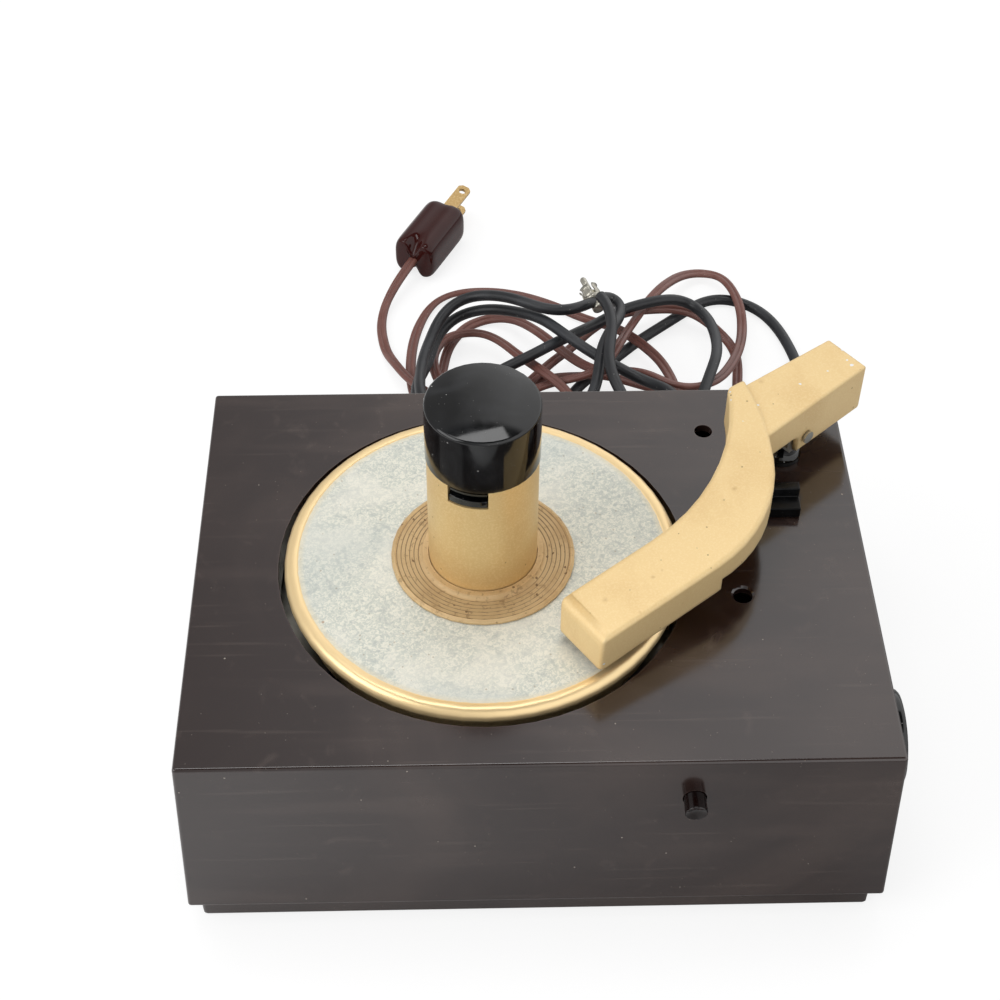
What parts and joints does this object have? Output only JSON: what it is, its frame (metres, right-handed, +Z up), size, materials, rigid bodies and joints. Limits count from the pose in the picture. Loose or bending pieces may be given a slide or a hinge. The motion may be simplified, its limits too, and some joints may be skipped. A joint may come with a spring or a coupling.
{
  "type": "record changer",
  "caption": "Table-top automatic record changer: dark case, silver and gold turntable, thick centre post with drop shelves, curved tonearm, mains cord and audio cable.",
  "frame": {"origin": "middle of the base's underside", "axes": "+X to the right seen from the front, +Y to the back, +Z up"},
  "size_m": [0.2464, 0.3961, 0.1646],
  "materials": {
    "case_brown": "glossy moulded",
    "satin_gold": "satin metallic paint",
    "worn_zinc": "worn silver",
    "gloss_black": "glossy",
    "plain_steel": "plain",
    "plain_brass": "plain",
    "copper_coil": "varnished winding",
    "rubber": "matte",
    "paper_board": "board",
    "cord_brown": "smooth",
    "cord_black": "smooth",
    "plug_brown": "glossy"
  },
  "bodies": {
    "base": {"case_shell": "case_brown", "base_pan": "case_brown", "case_screw_1": "plain_steel", "case_screw_2": "plain_steel", "case_screw_3": "plain_steel", "case_screw_4": "plain_steel", "chassis_plate": "plain_steel", "motor_laminations": "plain_steel", "motor_coil": "copper_coil", "motor_hanger": "plain_steel", "motor_bearing": "plain_steel", "idler_axle": "plain_steel", "idler_arm": "plain_steel", "idler_pivot": "plain_steel", "spindle_shaft": "plain_steel", "cycle_gear_stud": "plain_steel", "arm_pivot_flange": "gloss_black", "arm_rest": "gloss_black", "button_spring": "plain_steel", "trip_pivot": "plain_steel", "power_switch": "paper_board", "terminal_strip": "paper_board", "mains_strain_relief": "cord_brown", "audio_grommet": "rubber", "mains_lead": "cord_brown", "mains_hank": "cord_brown", "mains_tail": "cord_brown", "plug_body": "plug_brown", "plug_blade_1": "plain_brass", "plug_blade_2": "plain_brass", "audio_lead": "cord_black", "audio_hank": "cord_black", "phono_plug": "plain_steel"},
    "turntable": {"platter": "worn_zinc", "hub_disc": "satin_gold", "platter_hub": "plain_brass", "hub_pinion": "plain_brass", "centre_post": "satin_gold", "spindle_cap": "gloss_black", "separator_divider": "plain_steel"},
    "shelf_cam_body": {"shelf_cam": "plain_steel"},
    "shelf_body_1": {"record_shelf_1": "gloss_black"},
    "shelf_body_2": {"record_shelf_2": "gloss_black"},
    "blade_cam_body": {"blade_cam": "plain_brass"},
    "blade_body_1": {"separator_blade_1": "plain_steel"},
    "blade_body_2": {"separator_blade_2": "plain_steel"},
    "cycle_gear_body": {"cycle_gear": "worn_zinc"},
    "idler": {"idler_wheel": "plain_brass", "idler_tyre": "rubber"},
    "rotor": {"motor_rotor": "plain_steel"},
    "arm_mount": {"arm_pivot_shaft": "plain_steel", "arm_yoke": "plain_steel", "arm_lift_pin": "plain_steel", "arm_crank": "plain_steel"},
    "arm": {"tonearm": "satin_gold", "cartridge": "gloss_black", "stylus": "plain_steel"},
    "button": {"reject_button": "case_brown"},
    "trip": {"trip_lever": "plain_steel"},
    "knob": {"power_knob": "gloss_black"}
  },
  "joints": [
    {"name": "turntable_spin", "type": "hinge", "parent": "base", "child": "turntable", "pos_m": [-0.017, 0.0005, 0.08625], "axis": [0, 0, 1], "continuous": true},
    {"name": "idler_spin", "type": "hinge", "parent": "base", "child": "idler", "pos_m": [-0.05835, -0.01455, 0.0775], "axis": [0, 0, 1], "continuous": true},
    {"name": "motor_spin", "type": "hinge", "parent": "base", "child": "rotor", "pos_m": [-0.05296, -0.03464, 0.044], "axis": [0, 0, 1], "continuous": true},
    {"name": "cycle_gear_spin", "type": "hinge", "parent": "base", "child": "cycle_gear_body", "pos_m": [0.02529, 0.01589, 0.0655], "axis": [0, 0, 1], "continuous": true},
    {"name": "shelf_cam_turn", "type": "hinge", "parent": "turntable", "child": "shelf_cam_body", "pos_m": [-0.017, 0.0005, 0.13425], "axis": [0, 0, 1], "range_deg": [0, 92]},
    {"name": "shelf_slide_1", "type": "slide", "parent": "turntable", "child": "shelf_body_1", "axis": [-0.2924, -0.9563, 0], "range_m": [0, 0.0034]},
    {"name": "shelf_slide_2", "type": "slide", "parent": "turntable", "child": "shelf_body_2", "axis": [0.2924, 0.9563, 0], "range_m": [0, 0.0034]},
    {"name": "blade_cam_turn", "type": "hinge", "parent": "turntable", "child": "blade_cam_body", "pos_m": [-0.017, 0.0005, 0.13825], "axis": [0, 0, 1], "range_deg": [0, 92]},
    {"name": "blade_slide_1", "type": "slide", "parent": "turntable", "child": "blade_body_1", "axis": [-0.2924, -0.9563, 0], "range_m": [0, 0.0034]},
    {"name": "blade_slide_2", "type": "slide", "parent": "turntable", "child": "blade_body_2", "axis": [0.2924, 0.9563, 0], "range_m": [0, 0.0034]},
    {"name": "arm_swing", "type": "hinge", "parent": "base", "child": "arm_mount", "pos_m": [0.0928, 0.0504, 0.08625], "axis": [0, 0, 1], "range_deg": [-4, 24]},
    {"name": "arm_lift", "type": "hinge", "parent": "arm_mount", "child": "arm", "pos_m": [0.0928, 0.0504, 0.10265], "axis": [-0.6549, 0.7557, 0], "range_deg": [0, 10]},
    {"name": "reject_press", "type": "slide", "parent": "base", "child": "button", "axis": [0, 1, 0], "range_m": [0, 0.004], "stiffness_N_per_m": 300, "springref_m": -0.002, "deforming": ["button_spring"]},
    {"name": "trip_turn", "type": "hinge", "parent": "base", "child": "trip", "pos_m": [0.062, -0.057, 0.068], "axis": [0, 0, 1], "range_deg": [-22.5, 0]},
    {"name": "power_turn", "type": "hinge", "parent": "base", "child": "knob", "pos_m": [0.11834, -0.0467, 0.04431], "axis": [0.9992, 0, 0.0403], "range_deg": [0, 60]}
  ],
  "couplings": [
    {"joint": "idler_spin", "follows": "turntable_spin", "ratio": 3.4611},
    {"joint": "motor_spin", "follows": "turntable_spin", "ratio": -24.92},
    {"joint": "cycle_gear_spin", "follows": "turntable_spin", "ratio": -0.25},
    {"joint": "shelf_slide_2", "follows": "shelf_slide_1", "ratio": 1},
    {"joint": "shelf_cam_turn", "follows": "shelf_slide_1", "rad_per_m": 462},
    {"joint": "blade_slide_2", "follows": "blade_slide_1", "ratio": 1},
    {"joint": "blade_cam_turn", "follows": "blade_slide_1", "rad_per_m": 462},
    {"joint": "trip_turn", "follows": "reject_press", "rad_per_m": -95}
  ]
}
